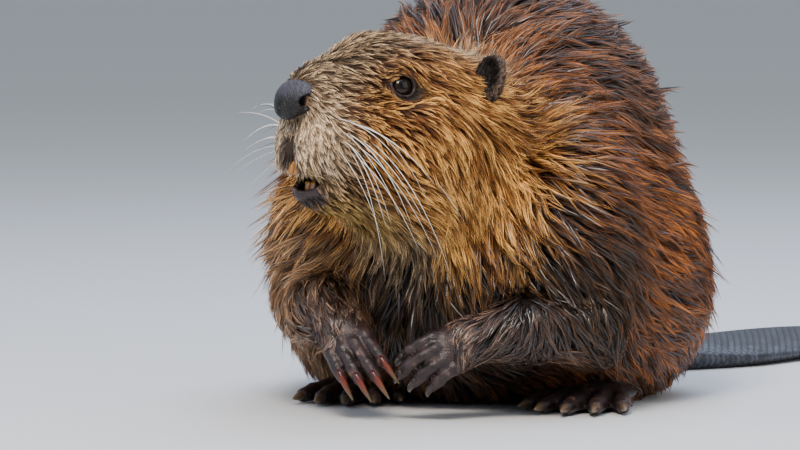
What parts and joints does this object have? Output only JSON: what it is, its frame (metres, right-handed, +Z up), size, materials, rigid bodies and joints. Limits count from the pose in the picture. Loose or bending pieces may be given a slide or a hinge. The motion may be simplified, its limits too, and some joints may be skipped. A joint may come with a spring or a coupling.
{
  "type": "beaver",
  "caption": "Life-size still beaver sitting hunched on its belly, head raised and turned right, forepaws held together over the floor, flat scaly tail laid out behind.",
  "frame": {"origin": "on the floor under the middle of the belly's flat", "axes": "+Z up; -Y the way the body faces, so the tail runs towards +Y; +X the animal's own left"},
  "size_m": [0.2841, 0.6036, 0.2609],
  "materials": {
    "coat": "damp brown guard hairs over dark underfur",
    "cheek_coat": "short golden-orange guard hairs, greyer towards the nose",
    "wet_coat": "short, dark, wet fur on the forelegs",
    "ear_coat": "very short black-brown fur",
    "bare_skin": "dark, wrinkled skin of the forepaws and hind feet",
    "tail_scales": "blue-grey scaly skin",
    "nose_skin": "dark grey, finely grained, slightly moist skin",
    "horn": "horn-brown claw, redder on the right forepaw",
    "enamel": "orange enamel of the front teeth",
    "eye": "wet, very dark brown eye"
  },
  "bodies": {
    "root": {"head": "cheek_coat", "lower_jaw": "cheek_coat", "nose": "nose_skin", "incisors_upper": "enamel", "incisors_lower": "enamel", "eye_left": "eye", "eye_right": "eye", "ear_left": "ear_coat", "ear_right": "ear_coat", "neck": "coat", "trunk": "coat", "foreleg_left": "wet_coat", "foreleg_right": "wet_coat", "hand_left": "bare_skin", "hand_right": "bare_skin", "thigh_left": "coat", "thigh_right": "coat", "foot_left": "bare_skin", "foot_right": "bare_skin", "tail_stalk": "coat", "tail_paddle": "tail_scales", "claw_foot_left_1": "horn", "claw_foot_left_2": "horn", "claw_foot_left_3": "horn", "claw_foot_left_4": "horn", "claw_foot_left_5": "horn", "claw_foot_right_1": "horn", "claw_foot_right_2": "horn", "claw_foot_right_3": "horn", "claw_foot_right_4": "horn", "claw_foot_right_5": "horn", "claw_hand_left_1": "horn", "claw_hand_left_2": "horn", "claw_hand_left_3": "horn", "claw_hand_left_4": "horn", "claw_hand_left_5": "horn", "claw_hand_right_1": "horn", "claw_hand_right_2": "horn", "claw_hand_right_3": "horn", "claw_hand_right_4": "horn", "claw_hand_right_5": "horn"}
  },
  "joints": []
}
